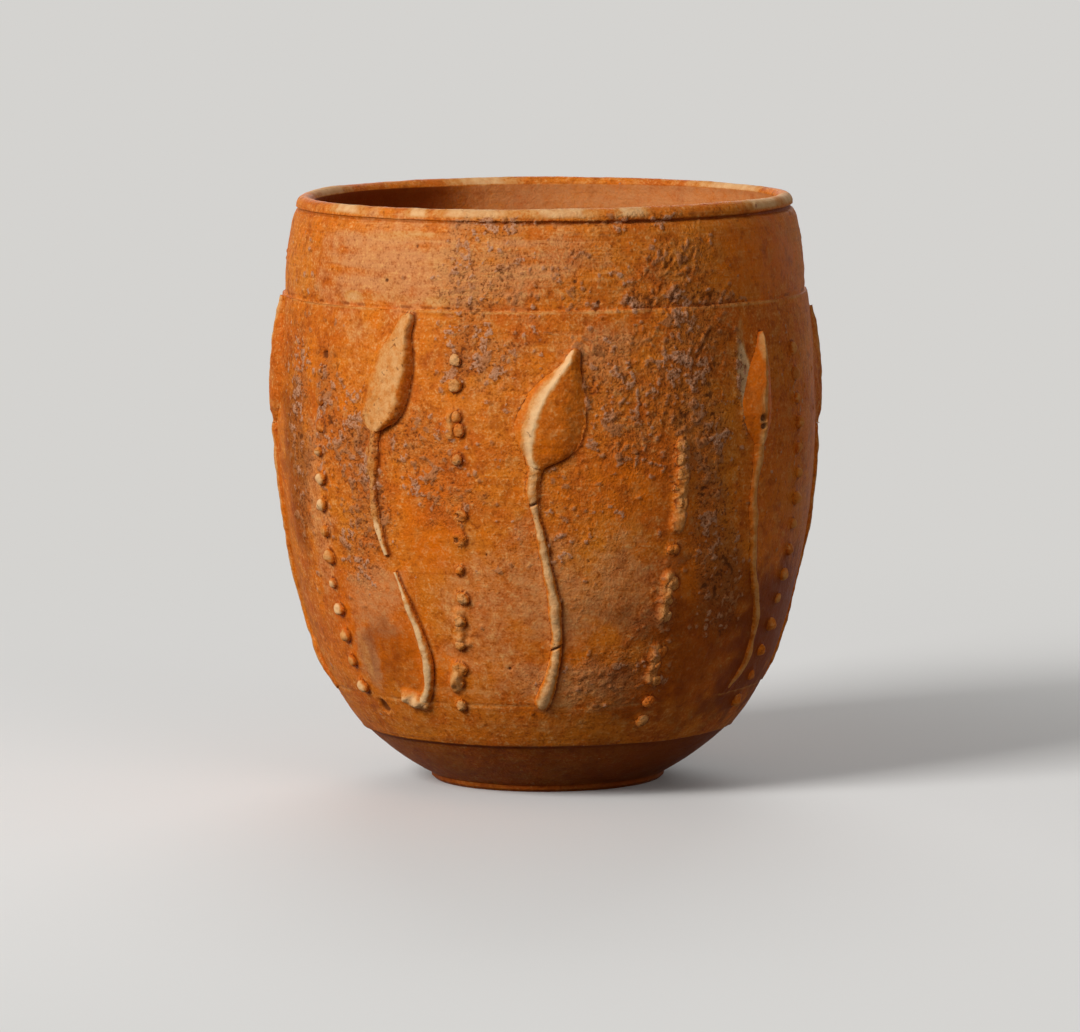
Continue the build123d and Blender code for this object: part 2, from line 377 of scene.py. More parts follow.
crust_patches = (
    (-44, 57, 7, 10, 1), (-40, 49, 6, 9, 0.95), (-46, 41, 5, 7, 0.85), (-28, 57, 10, 8, 0.72),
    (-15, 73, 7, 7, 0.85), (-14, 84, 8, 9, 0.75), (-11, 92, 8, 2.5, 0.8), (-19, 50, 9, 6, 0.7),
    (-64, 60, 5, 22, 0.9), (-53, 66, 5, 9, 0.85), (-50, 55, 9, 14, 0.6), (4, 62, 16, 26, 0.42),
    (0, 84, 16, 9, 0.5), (13, 68, 9, 10, 0.75), (20, 59, 8, 7, 0.7), (24, 66, 8, 10, 0.68),
    (31, 72, 9, 10, 0.85), (28, 80.6, 15, 2.2, 0.95), (30, 86, 9, 7, 0.7), (42, 80, 8, 1.3, 0.8),
    (34, 60, 7, 8, 0.95), (37, 50, 6, 10, 0.95), (40, 38, 6, 9, 0.92), (45, 31, 5, 7, 0.8),
    (24, 23, 8, 6, 0.6), (27, 33, 4, 5, 0.6), (44.3, 69, 1.5, 8, 0.95), (46, 61, 1.5, 4, 1),
    (18, 93, 12, 2, 0.7), (60, 60, 9, 20, 0.3), (10, 20, 10, 5, 0.45), (100, 62, 10, 14, 0.62),
    (125, 40, 10, 9, 0.55), (150, 82, 14, 6, 0.7), (186, 48, 9, 16, 0.65), (205, 79.6, 12, 2.4, 0.85),
    (228, 66, 12, 10, 0.58), (262, 50, 8, 12, 0.6), (290, 70, 8, 8, 0.5), (170, 24, 12, 6, 0.5),
    (110, 88, 14, 5, 0.5), (250, 88, 12, 6, 0.5),
)
# Soil in patches; the large ones on the right, at azimuths 44 to 75, are painted shade on the side away
# from the key lamp
stain_patches = (
    (62, 62, 12, 30, 0.3), (75, 40, 14, 20, 0.35), (44, 25, 27, 19, 0.52), (66, 24, 24, 18, 0.72),
    (140, 30, 18, 16, 0.4), (215, 55, 12, 22, 0.35), (275, 35, 10, 18, 0.3), (-68, 52, 7, 26, 0.5),
    (-20, 74, 8, 7, 0.3), (34, 70, 10, 14, 0.3), (-42, 23, 10, 8, 0.42), (-54, 64, 7, 16, 0.28),
)
# Glossy coat; the patches on the right at azimuths 56 and 70 also redden the side in shade, a painted warm
# tint of the shade
gloss_and_warm_shade_patches = (
    (-46, 28, 12, 12, 1), (-30, 22, 10, 6, 0.8), (70, 50, 16, 30, 0.35), (160, 55, 16, 18, 0.6),
    (240, 30, 14, 12, 0.8), (-25, 47, 6, 9, 0.8), (17, 51, 8, 8, 0.7), (-54, 62, 7, 16, 0.5),
    (35, 43, 3, 14, 0.6), (7, 24, 9, 4, 0.5), (56, 86, 15, 8, 0.8), (40, 21, 16, 8, 0.7),
    (32, 33, 6, 8, 0.7), (58, 45, 8, 25, 0.5),
)
# Pale bloom; the patch at azimuth -49, height 23 is a painted sheen on the lower left
salmon_patches = (
    (-34, 86, 18, 8, 0.95), (-5, 86, 14, 7, 0.8), (-49, 23, 2.5, 6, 1), (0, 34, 10, 11, 0.7),
    (17, 36, 9, 11, 0.65), (-42, 33, 8, 6, 0.75), (-58, 45, 5, 18, 0.7), (-13, 70, 8, 10, 0.35),
    (-42, 72, 6, 8, 0.25), (6, 20, 14, 5, 0.7), (-14, 30, 9, 14, 0.55), (12, 73, 8, 6, 0.6),
    (110, 80, 14, 8, 0.6), (200, 35, 14, 10, 0.6), (255, 84, 14, 6, 0.6), (150, 55, 10, 12, 0.5),
)
# Pale patches; the one at azimuth -50, height 23 is a painted highlight streak
worn_and_highlight_patches = (
    (-35, 83, 3, 2, 0.4), (-44, 76, 5, 2.5, 0.42), (-50, 23, 1.1, 4.5, 0.5), (-33, 90.5, 8, 0.8, 0.5),
    (-38, 81, 9, 1, 0.45), (-5, 13, 12, 2, 0.3), (8, 17, 10, 2, 0.3), (-20, 18.5, 9, 1, 0.4),
    (-20, 87, 10, 3, 0.35), (-45.5, 80.8, 2.6, 1, 0.95), (-24, 80.6, 2.2, 0.9, 0.85),
    (-30, 91, 5, 0.5, 0.9), (120, 70, 5, 3, 0.4), (190, 62, 4, 3, 0.4), (245, 76, 5, 2, 0.45),
    (45.4, 68.5, 1.2, 7, 1.8),
)
# A patch is gone at the first of these shares of its half size, and full at the second
patch_edge = (1.35, 0.35)
# Pale worn stretches of the lip: azimuth and half the width in degrees
lip_wear = ((-52, 6), (-30, 3), (-17, 9), (4, 8), (20, 4), (62, 9), (80, 8), (125, 12), (196, 9), (250, 10))
# Pits: azimuth, height, radius and depth
pits = (
    (-54.1, 71.4, 0.85, 0.7), (-36.6, 83.7, 0.3, 0.3), (-29.1, 89.2, 0.28, 0.25), (-9, 22.5, 0.3, 0.25),
    (6.4, 83.9, 0.3, 0.25), (11.4, 80.6, 0.35, 0.25), (-50, 14.5, 1.2, 0.6), (140, 55, 0.4, 0.4),
    (210, 38, 0.4, 0.4), (-13, 41, 0.22, 0.25), (9, 40, 0.25, 0.25),
)
# Cracks and scratches: azimuth and height of both ends, half width and depth
strokes = (
    (34.3, 88.2, 32.3, 84.2, 0.28, 0.3), (28.4, 86.9, 26, 85, 0.25, 0.25), (31.5, 87.4, 30, 85.2, 0.2, 0.2),
    (29.4, 82.4, 26.6, 78.4, 0.22, 0.22), (25.8, 82.8, 23.2, 80.3, 0.25, 0.25),
    (37, 75.5, 33, 71.5, 0.25, 0.22), (33, 71.5, 30.5, 72.5, 0.22, 0.2), (36.5, 70, 39, 66, 0.22, 0.2),
    (4, 22.2, 12.5, 22, 0.13, 0.1), (11.6, 15.8, 22.8, 17.6, 0.14, 0.12), (10, 16.8, 20, 18.4, 0.12, 0.1),
    (5.8, 12.9, 21, 13.2, 0.14, 0.1), (-2, 18, 9, 18.6, 0.12, 0.08), (196, 70, 201, 64, 0.25, 0.25),
    (118, 84, 113, 80, 0.25, 0.25),
)
# Lumpy slip that joins neighbouring dots: azimuth and height of both ends, half width and height
bridges = (
    (29.6, 58, 29.4, 51, 1.1, 0.55), (29.4, 51, 28.7, 45, 1.2, 0.6), (27.4, 37, 26.9, 30.6, 1, 0.65),
    (26.3, 25.4, 25.9, 20.5, 0.9, 0.5), (-20.1, 63, -20.1, 60, 0.8, 0.55),
    (-20, 31.5, -20.3, 26.5, 0.9, 0.45), (-22, 22.4, -22.8, 19.2, 1, 0.85),
    (-21, 26.4, -18.9, 26.6, 0.6, 0.4), (112, 50, 112, 43, 1, 0.5), (203, 62, 203, 57, 1, 0.5),
    (252, 35, 252, 29, 1, 0.5), (-38.7, 16.9, -34.8, 16.1, 1.1, 1.1), (-39.4, 57, -39.3, 53, 0.8, 0.7),
)


def turn_from(place, azimuth):
    """Degrees from a place round to each azimuth, from -180 to 180."""
    return (azimuth - place + 180) % 360 - 180


def turned(radius, azimuth, z):
    """Points at each radius, azimuth and height."""
    angle = np.radians(azimuth)
    return np.stack(np.broadcast_arrays(radius * np.sin(angle), -radius * np.cos(angle), z), -1)


class Places:
    """Points with their azimuth and radius, and how they lie to things on the wall, in millimetres."""

    def noise(self, size, seed):
        return noise(self.points, size, seed)

    def across(self, place):
        """How far round the wall each point is from a place."""
        return np.radians(turn_from(place, self.azimuth)) * self.radius

    def off(self, place, z):
        """How far each point is from a place and a height."""
        return np.hypot(self.across(place), self.points[..., 2] - z)

    def off_line(self, first, first_z, last, last_z):
        """How far each point is from a straight stroke between two places."""
        u, v = self.across(first), self.points[..., 2] - first_z
        wide, tall = math.radians(last - first) * belly_radius, last_z - first_z
        share = np.clip((u * wide + v * tall) / (wide**2 + tall**2), 0, 1)
        return np.hypot(u - share * wide, v - share * tall)

    def patched(self, patches, wander):
        """How strongly each point lies in one of the patches, with ragged edges."""
        found = np.zeros(self.radius.shape)
        for middle, z, half_width, half_height, strength in patches:
            off = np.hypot(self.across(middle) / half_width, (self.points[..., 2] - z) / half_height)
            found = np.maximum(found, strength * ease(*patch_edge, off + wander))
        return found


# Body


class Surface(Places):
    """The body's points in rows and columns, how far each is moved outwards, and what it carries."""

    def __init__(self):
        outside = outside_rows()
        rows = np.array(outside + inside_rows())
        along = np.vstack([rows[1:], (0, floor_thickness)]) - np.vstack([(0, 0), rows[:-1]])
        along /= np.linalg.norm(along, axis=1)[:, None]
        shape = (len(rows), columns)
        self.profile = np.array(outside)
        self.azimuth = np.broadcast_to(np.arange(columns) * 360 / columns, shape)
        self.radius = np.broadcast_to(rows[:, :1], shape)
        self.z = np.broadcast_to(rows[:, 1:], shape)
        self.outer = np.broadcast_to(np.arange(len(rows))[:, None] < len(outside), shape)
        self.points = turned(self.radius, self.azimuth, self.z)
        self.outward = turned(along[:, 1:], self.azimuth, -along[:, :1])
        self.moved = np.zeros(shape)
        self.amounts = {name: np.zeros(shape) for name in amount_names}
        self.ragged = 0.35 * self.noise(5, 4) + 0.25 * self.noise(1.8, 5)
        self.wobble = 0.45 * self.noise(1.6, 13)
        self.lines = self.points / line_stretch
        self.band = ease(ledge_z - 0.5, ledge_z + 1, self.z) * self.outer

    def mark(self, name, values):
        """Raises a named amount to these values where they are larger."""
        self.amounts[name] = np.maximum(self.amounts[name], values)

    def mark_patches(self, name, patches, share=1):
        self.mark(name, self.patched(patches, self.ragged) * self.outer * share)

    def near(self, z, reach):
        """1 at a height on the outside, and less above and below it."""
        return bell((self.z - z) / reach) * self.outer

    def settle(self):
        """Moves the points outwards, apart from the flat underside."""
        self.moved *= np.where(self.outer, ease(0.0, 0.6, self.z), 1)
        self.points = self.points + self.outward * self.moved[..., None]


def throw(s):
    """Uneven clay, a slightly oval wall, throwing lines and a spiral inside."""
    s.moved += sum(rise * s.noise(size, seed) for size, seed, rise in clay_lumps)
    s.moved += oval_rise * np.cos(np.radians(2 * (s.azimuth - oval_azimuth))) * (s.z > lower_line_z)
    s.moved += (line_rise + band_line_rise * s.band) * noise(s.lines, 1, 6) * s.outer
    turns = s.z / spiral_pitch + s.azimuth / 360
    s.moved += spiral_rise * np.sin(2 * math.pi * turns) * ~s.outer * ease(8, 14, s.z)


def waver(s):
    """Ledge and lower line waver, and the groove under the lip is half filled on the left and painted with
    shade, less where it is filled.
    """
    edges = s.near(ledge_z, edge_reach) + 0.5 * s.near(lower_line_z, lower_line_reach)
    s.moved += edges * edge_waver * (s.noise(3, 7) - 0.5)
    groove = s.near(height - groove_below_rim, edge_reach)
    signed = turn_from(0, s.azimuth)
    filled = ease(20, -30, signed) * ease(-179, -100, signed)
    s.moved += groove * (groove_fill * filled + edge_waver * s.noise(3.5, 15))
    # Painted shade in the groove under the lip, weaker where the groove is filled
    s.mark("stain", (0.75 - 0.3 * filled) * groove)


def draw_guide_line(s):
    """A shallow line round the wall, broken in places."""
    guide = s.near(guide_line_z + guide_line_waver * s.noise(12, 1), guide_line_width)
    guide *= ease(-0.2, 0.4, s.noise(9, 8)) * (s.radius > foot_radius)
    s.moved -= guide_line_depth * guide
    s.mark("bare", 0.5 * guide)


def blisters(profile, shape):
    """Scattered round crusts, and a painted shadow on the lower right of each."""
    chance = np.random.default_rng(blister_seed)
    raised, shadow_rim = np.zeros((2, *shape))
    row_z = np.maximum.accumulate(profile[:, 1])
    step = 360 / columns
    for middle, z, half_width, half_height, strength in crust_patches:
        for _ in range(int(blister_density * strength * math.pi * half_width * half_height)):
            across, along = chance.normal(0, 0.55, 2)
            size = chance.uniform(*blister_radius) * (0.6 + 0.4 * min(1, strength))
            spot_z = z + along * half_height
            low, high = np.searchsorted(row_z, (spot_z - 2 * size, spot_z + 2 * size))
            if high - low < 3 or spot_z > height - lip_rounding:
                continue
            wide = profile[low, 0]
            spot = middle + math.degrees(across * half_width / wide)
            reach = math.ceil(math.degrees(2 * size / wide) / step)
            near = np.arange(round(spot / step) - reach, round(spot / step) + reach + 1)
            stretch = chance.uniform(0.7, 1.3)
            u = np.radians(near * step - spot) * wide / size * stretch
            v = (profile[low:high, 1:] - spot_z) / size / stretch
            dome = ease(1.15, 0.55, np.hypot(u, v))
            # A painted shadow: the same round shape moved to the lower right, away from the light
            shade = ease(1.15, 0.55, np.hypot(u - 0.5, v + 0.45))
            place = np.ix_(np.arange(low, high), near % columns)
            raised[place] = np.maximum(raised[place], dome)
            shadow_rim[place] = np.maximum(shadow_rim[place], shade - dome)
    return raised, np.clip(shadow_rim, 0, 1)


def bury(s):
    """Burial crust in fine grains, clumps and blisters, with sunk hollows between them painted with shade,
    and painted shadows beside the blisters.
    """
    s.mark_patches("crust", crust_patches)
    area = s.amounts["crust"]
    lumps = sum(share * s.noise(size, seed) for size, seed, share in crust_lumps)
    level = 0.86 - 0.82 * area
    fleck = ease(level - 0.06, level + 0.16, lumps) * s.outer
    # Hollows between the crust's lumps, sunk and painted with shade
    gaps = 0.7 * ease(0.4, 0.7, -lumps) * ease(0.25, 0.9, area)
    dome, shadow_rim = blisters(s.profile, s.z.shape)
    s.moved += fleck_rise * fleck + lump_rise * area * lumps - gap_depth * gaps
    s.moved += blister_height * dome * (1 + 0.5 * lumps)
    s.mark("fleck", np.maximum(fleck, dome * ease(-0.9, 0.3, lumps)))
    s.mark("gaps", np.maximum(gaps, 0.55 * shadow_rim))


def scratch(s):
    """Cracks and scratches, broken in places, with a burr along one side."""
    broken = ease(-0.5, 0.2, s.noise(1.0, 16)) * s.outer
    for *line, half_width, depth in strokes:
        off = (s.off_line(*line) + s.wobble) / half_width
        cut = bell(off) * broken
        s.moved += depth * (0.6 * bell(off - 2.2) * broken - cut)
        # Painted shade in the cracks
        s.mark("gaps", cut * min(0.8, depth * 3))


def join_dots(s):
    """Lumpy slip between dots that have run together."""
    bridged = np.zeros(s.z.shape)
    for *line, half_width, rise in bridges:
        off = (s.off_line(*line) + 0.5 * s.wobble) / half_width
        bridged = np.maximum(bridged, rise * ease(1.5, 0.3, off) * s.outer)
    s.moved += bridged * (1 + 0.6 * s.noise(1.1, 14))
    s.mark("bare", bridged)


def pit(s):
    """Single pits with uneven edges."""
    uneven = 1 + 0.5 * s.noise(1.3, 3)
    for middle, z, size, depth in pits:
        hole = bell(s.off(middle, z) / (size * uneven), 4) * s.outer
        s.moved -= depth * hole
        # Painted shade in the pits
        s.mark("gaps", hole)


def near_slip(s, slip_points):
    """Millimetres to the nearest point of slip, and whether that lies to the left of the place."""
    tree = KDTree(len(slip_points))
    for i, place in enumerate(slip_points):
        tree.insert(place, i)
    tree.balance()
    far = 9.0
    distance, left = np.full(s.z.shape, far), np.zeros(s.z.shape, bool)
    close = (s.z > lower_line_z) & (s.z < ledge_z + 1) & (s.radius > wall_radius(s.z) - 1)
    for i in zip(*np.nonzero(close)):
        x, y, _ = s.points[i]
        nearest, _, distance[i] = tree.find(s.points[i])
        left[i] = nearest.x * y > nearest.y * x
    return distance, left


def settle_slip(s, slip_points):
    """The coat rises to the slip and takes painted shade on its shaded side, but not at the left edge."""
    distance, left = near_slip(s, slip_points)
    s.moved += skirt_rise * bell(distance / skirt_reach) * s.outer
    lit = bell(turn_from(-77, s.azimuth) / 9)
    # Painted shade along the slip on the side away from the key lamp, left out at the left edge
    s.mark("stain", 0.8 * bell(distance / shade_reach) * left * s.outer * (1 - lit))


def wear(s):
    """Coat worn through in patches, along the lip and on the edge of the ledge; the ledge's pale line and
    one patch on the lower left are painted highlights as well.
    """
    s.mark_patches("bare", worn_and_highlight_patches)
    worn = np.zeros(s.z.shape)
    for middle, half in lip_wear:
        off = np.abs(turn_from(middle, s.azimuth)) / half
        worn = np.maximum(worn, ease(1.5, 0.5, off + 0.8 * s.ragged))
    s.mark("bare", (0.22 + 0.85 * worn) * ease(height - 1.7, height - 1.1, s.z) * s.outer)
    # Pale line on the edge of the ledge: worn coat, and a painted highlight where the edge catches light
    # from above
    s.mark("bare", 0.7 * s.near(ledge_z - 0.2, 0.3) * ease(-0.7, 0.3, s.noise(4, 11)))


def stain(s):
    """Soil in patches, painted shade on the lower right, dark specks in the corner above the ledge, and the
    cone under the lower line darker, with painted shade deepest on the right and along the lower line.
    """
    s.mark_patches("stain", stain_patches)
    # The cone under the lower line: a darker coat, with painted shade that deepens to the right, away from
    # the key lamp
    below = ease(lower_line_z + 0.4, lower_line_z - 0.4, s.z) * s.outer
    s.mark("stain", below * (0.5 + 0.25 * ease(-0.3, 0.9, np.sin(np.radians(s.azimuth)))))
    # Dark specks in the corner above the ledge
    s.mark("stain", 0.6 * s.near(ledge_z + 0.35, 0.4) * ease(-0.5, 0.5, s.noise(1.3, 18)))
    # Painted shade along the lower line
    s.mark("stain", 0.9 * s.near(lower_line_z - 0.2, 0.35))


def tint(s):
    """Gloss and pale bloom outside; inside, smooth clay, with painted light at the back right and painted
    shade at the left.
    """
    s.mark_patches("gloss", gloss_and_warm_shade_patches)
    s.mark_patches("salmon", salmon_patches, 1 + 0.6 * s.band * noise(s.lines, 1, 19))
    # Inside: painted shade on the left, which the lip shades from the key lamp, and painted light, as pale
    # salmon, on the right
    dark = ease(180, 238, s.azimuth) * ease(340, 290, s.azimuth) * ~s.outer
    s.mark("stain", 1.3 * dark)
    s.mark("salmon", 0.8 * (1 - dark) * ~s.outer)
    s.mark("smooth", ~s.outer)


def make_body(material, slip_points):
    """The thrown vessel with the marks of hand, wheel, wear and burial on it, and painted light and shade.
    """
    s = Surface()
    for shaping in (throw, waver, draw_guide_line, bury, scratch, join_dots, pit):
        shaping(s)
    settle_slip(s, slip_points)
    s.settle()
    for colouring in (wear, stain, tint):
        colouring(s)
    count = len(s.points)
    places = np.arange(count * columns).reshape(count, columns)
    beside = np.roll(places, -1, 1)
    quads = np.stack([places[:-1], beside[:-1], beside[1:], places[1:]], -1).reshape(-1, 4)
    under, floor = np.full(columns, count * columns), np.full(columns, count * columns + 1)
    caps = [np.stack([under, beside[0], places[0]], -1), np.stack([places[-1], beside[-1], floor], -1)]
    points = np.vstack([s.points.reshape(-1, 3), (0, 0, 0), (0, 0, floor_thickness)])
    piece = new_object("cup_body", points, quads, np.concatenate(caps), material)
    set_amounts(piece.data, {name: np.append(v.ravel(), (0, 0)) for name, v in s.amounts.items()})
    bake_map(piece.data, count)
    return piece


def bake_map(mesh, count):
    """A flat map of the body: round it, and along its profile from foot to floor."""
    corners = read(mesh.loops, "vertex_index")
    starts = read(mesh.polygons, "loop_start")
    face = np.repeat(np.arange(len(starts)), read(mesh.polygons, "loop_total"))
    column = corners % columns
    at_first = np.minimum.reduceat(column, starts)[face] == 0
    at_last = np.maximum.reduceat(column, starts)[face] == columns - 1
    u = (column + np.where(at_first & at_last & (column == 0), columns, 0)) / columns
    v = np.where(corners == count * columns, 0, (corners // columns + 1) / (count + 1))
    layer = mesh.uv_layers.new(name="OFBake")
    layer.data.foreach_set("uv", np.stack([u, v], 1).astype(np.float32).ravel())


# Slip: leaves, stems and dots

# Millimetres of pale worn clay to the left and right of a leaf's crest
leaf_wear = dict(
    front=(1.5, 0.5), front_right=(0.2, 0.7), right=(0.3, 0.2), back_right=(2.5, 0.6),
    back=(2, 1), back_left=(1.8, 0.8), left=(2.2, 0.6), front_left=(6.4, 0.5),
)
# Leaves that are worn more along their crest
crest_wear = dict(front=0.35)
# How far a leaf is drawn in on each side of its crest, and its tip and foot are spread
leaf_draw = dict(front_left=(1, 0.82, 0.8, 0.4), front_right=(1, 0.68, 0, 0))
# Motifs that stand less high, as a share of their solids' height
flatter = dict(
    leaf_left=0.6, leaf_right=0.45, stem_left=0.65, stem_right=0.6, dot_row_1=0.85, dot_row_8=0.85,
)
# Motifs that fade out over a length at their foot, or for a leaf at both ends
fading = dict(
    stem_left=0.85, stem_right=0.85, stem_front_right=0.85, leaf_left=0.6, leaf_right=0.85,
)
fade_length = 5.0
# Pieces that keep a bright, smooth coat
vivid = dict(leaf_front_right=1.0, leaf_front=0.4)
usual_gloss = 0.1
# Rows whose dots crumble more than the others
crumbling = dict(dot_row_1=0.34, dot_row_8=0.26)
# Hollows in the slip: azimuth, height, radius and depth
hollows = (
    (-20.1, 60.1, 0.45, 0.6), (-18.8, 47.2, 0.4, 0.5), (-19.3, 43.3, 0.45, 0.5), (49.4, 61.2, 0.6, 0.8),
    (49.5, 59.9, 0.5, 0.7), (-33.8, 70.2, 0.24, 0.14), (-34.6, 69, 0.2, 0.16), (-36.4, 68.3, 0.18, 0.12),
    (-35.1, 67.8, 0.26, 0.14), (-36.6, 66.2, 0.15, 0.12), (-38.5, 63.1, 0.2, 0.2),
)
# Dots worn down nearly flat: azimuth, height and radius of the place, and the share that is gone
flattened = ((-54.5, 65, 8), (-19, 45, 3))
flattened_share = 0.45
# How much of a stem's or a row's back is worn pale
back_wear = dict(
    stem_front=1.05, stem_front_right=0.75, stem_front_left=1.25, stem_left=0.7,
    dot_row_1=0.85, dot_row_2=0.55, dot_row_7=1.15, dot_row_8=0.95,
)
usual_wear = 0.8
# Stretches of a stem that keep a dull coat: lower and upper height
dull_stretch = dict(stem_front_left=(46, 62))
# Heights of the cracks across a stem
stem_cracks = dict(stem_front=(49.2, 26), stem_front_right=(61,), stem_back=(44,))


def slip_mesh(node):
    """A CAD node of slip as a fine, even, softened mesh in millimetres."""
    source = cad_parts[node].data.copy()
    source.transform(Matrix.Scale(1 / mm, 4))
    shaper = new_thing("shaper", source)
    remesh = shaper.modifiers.new("even", "REMESH")
    remesh.mode = "VOXEL"
    remesh.voxel_size = slip_voxel
    smooth = shaper.modifiers.new("soft", "SMOOTH")
    smooth.iterations = slip_smoothing
    shaped = shaper.evaluated_get(bpy.context.evaluated_depsgraph_get())
    mesh = bpy.data.meshes.new_from_object(shaped)
    bpy.data.objects.remove(shaper)
    return mesh


class Lump(Places):
    """A node of slip: its points, and how they lie on the wall and to its crest."""

    def __init__(self, node):
        self.node = node
        self.family, self.name = node.split("_", 1)
        self.mesh = slip_mesh(node)
        self.points = read(self.mesh.vertices, "co", float, 3)
        self.outward = read(self.mesh.vertices, "normal", float, 3)
        flat = self.points * np.array([1, 1, 0])
        self.radius = np.linalg.norm(flat, axis=1)
        self.spoke = flat / self.radius[:, None]
        self.middle = math.degrees(math.atan2(flat[:, 0].mean(), -flat[:, 1].mean()))
        self.rise = self.radius - wall_radius(self.z)
        self.find_azimuth()
        self.high = np.maximum(self.by_height(lambda here: self.rise[here].max(initial=0)), 0.3)
        self.crest = self.by_height(self.highest)
        self.share = self.rise / self.high
        self.sunk, self.pitted, self.cut = np.zeros((3, len(self.points)))

    @property
    def z(self):
        return self.points[:, 2]

    def find_azimuth(self):
        """The azimuth of each point, without a jump within the node."""
        azimuth = np.degrees(np.arctan2(self.points[:, 0], -self.points[:, 1]))
        self.azimuth = self.middle + turn_from(self.middle, azimuth)

    def by_height(self, pick):
        """A value picked from each thin slice, as a smooth run over all heights."""
        low = self.z.min()
        slot = np.floor((self.z - low) / slice_height).astype(int)
        found = [pick(slot == s) for s in range(slot.max() + 1)]
        return np.interp(self.z, low + slice_height * (np.arange(len(found)) + 0.5), found)

    def highest(self, here):
        """The azimuth at which a slice stands out the most."""
        return self.azimuth[here][np.argmax(self.rise[here])] if here.any() else self.middle

    def offset(self):
        """Millimetres round the wall from the crest to each point."""
        return np.radians(self.azimuth - self.crest) * self.radius

    def push(self, amount):
        """Moves the points away from the axis."""
        self.points = self.points + self.spoke * amount[:, None]


def swell(lump):
    """Swollen, uneven slip."""
    lumps = sum(rise * lump.noise(size, 21 + i) for i, (size, rise) in enumerate(slip_lumps))
    swollen = slip_swell
    if lump.family == "stem":
        lumps = lumps + stem_lumps * lump.noise(3.0, 24)
    if lump.family == "dot":
        crumbs = lump.noise(1.0, 25) + 0.5 * lump.noise(0.5, 26)
        lumps = lumps + crumbling.get(lump.node, dot_lumps) * crumbs
        swollen = dot_swell
    lump.points = lump.points + lump.outward * ((lumps + swollen) * ease(0.0, 0.3, lump.rise))[:, None]


def dome_leaf(lump):
    """Raises a leaf to a tent on the left of its crest and a dome on the right."""
    offset = lump.offset()
    left = lump.by_height(lambda here: -offset[here].min(initial=-0.1))
    right = lump.by_height(lambda here: offset[here].max(initial=0.1))
    across = np.clip(np.where(offset < 0, -offset / left, offset / right), 0, 1)
    target = leaf_lift * lump.high * np.where(offset < 0, 1 - across, 1 - across**leaf_round)
    lump.push(leaf_dome * (target - lump.rise) * ease(0.05, 0.3, lump.rise))


def draw_leaf(lump, left, right, tip_spread, foot_spread):
    """Draws a leaf in or out on each side of its crest, and spreads its tip and foot."""
    z = lump.z
    tip = ease(z.max() - 4, z.max() - 0.5, z)
    foot = ease(z.min() + 5, z.min() + 1, z)
    off = lump.azimuth - lump.crest
    off = off * np.where(off < 0, left, right) * (1 + tip_spread * tip + foot_spread * foot)
    lump.points = turned(np.hypot(lump.points[:, 0], lump.points[:, 1]), lump.crest + off, z)
    lump.find_azimuth()


def lower(lump):
    """Motifs that stand less high or fade out, and dots that are worn flat."""
    lowered = np.full(len(lump.points), 1 - flatter.get(lump.node, 1.0))
    if lump.node in fading:
        from_end = lump.z - lump.z.min()
        if lump.family == "leaf":
            from_end = np.minimum(from_end, lump.z.max() - lump.z)
        lowered = np.maximum(lowered, fading[lump.node] * ease(fade_length, 0.5, from_end))
    if lump.family == "dot":
        for place, z, size in flattened:
            lump.sunk = np.maximum(lump.sunk, ease(1.2, 0.7, lump.off(place, z) / size))
    lump.push(-(lowered + flattened_share * lump.sunk) * np.maximum(lump.rise, 0))


def hollow(lump):
    """Hollows in the slip, and cracks across a stem."""
    for place, z, size, depth in hollows:
        hole = bell(lump.off(place, z) / size, 4)
        lump.push(-depth * hole)
        lump.pitted = np.maximum(lump.pitted, hole * min(1, 3 * depth))
    for z in stem_cracks.get(lump.node, ()):
        lump.cut = np.maximum(lump.cut, bell((lump.z - z - 0.5 * lump.offset()) / crack_width))
    lump.push(-crack_depth * lump.cut * ease(0.1, 0.4, lump.rise))


def leaf_bareness(lump, ragged):
    """Pale worn clay on both sides of a leaf's crest."""
    left, right = leaf_wear[lump.name]
    offset = lump.offset()
    bare = ease(left + 1.2, left - 0.8, -offset + 0.7 * ragged)
    bare = bare * ease(right + 0.6, right - 0.4, offset + 0.5 * ragged)
    bare = bare * ease(0.3, 0.8, lump.share + 0.15 * ragged)
    return bare * (0.9 + crest_wear.get(lump.name, 0) * bell(offset))


def trail_bareness(lump, ragged):
    """Pale worn clay along a stem's back and on top of dots, a few of which keep their coat."""
    narrow = 0.55 if lump.family == "stem" else 0.4
    bare = back_wear.get(lump.node, usual_wear) * ease(narrow, narrow + 0.4, lump.share + 0.25 * ragged)
    if lump.node in dull_stretch:
        low, top = dull_stretch[lump.node]
        bare = bare * (1 - 0.45 * ease(low - 1, low + 1, lump.z) * ease(top + 1, top - 1, lump.z))
    if lump.family == "dot":
        single = noise(np.floor(lump.points / np.array([90, 90, 3.5])), 0.37, 33)
        bare = bare * ease(-0.7, 0.1, single) * (1 - 0.7 * lump.sunk)
    return bare


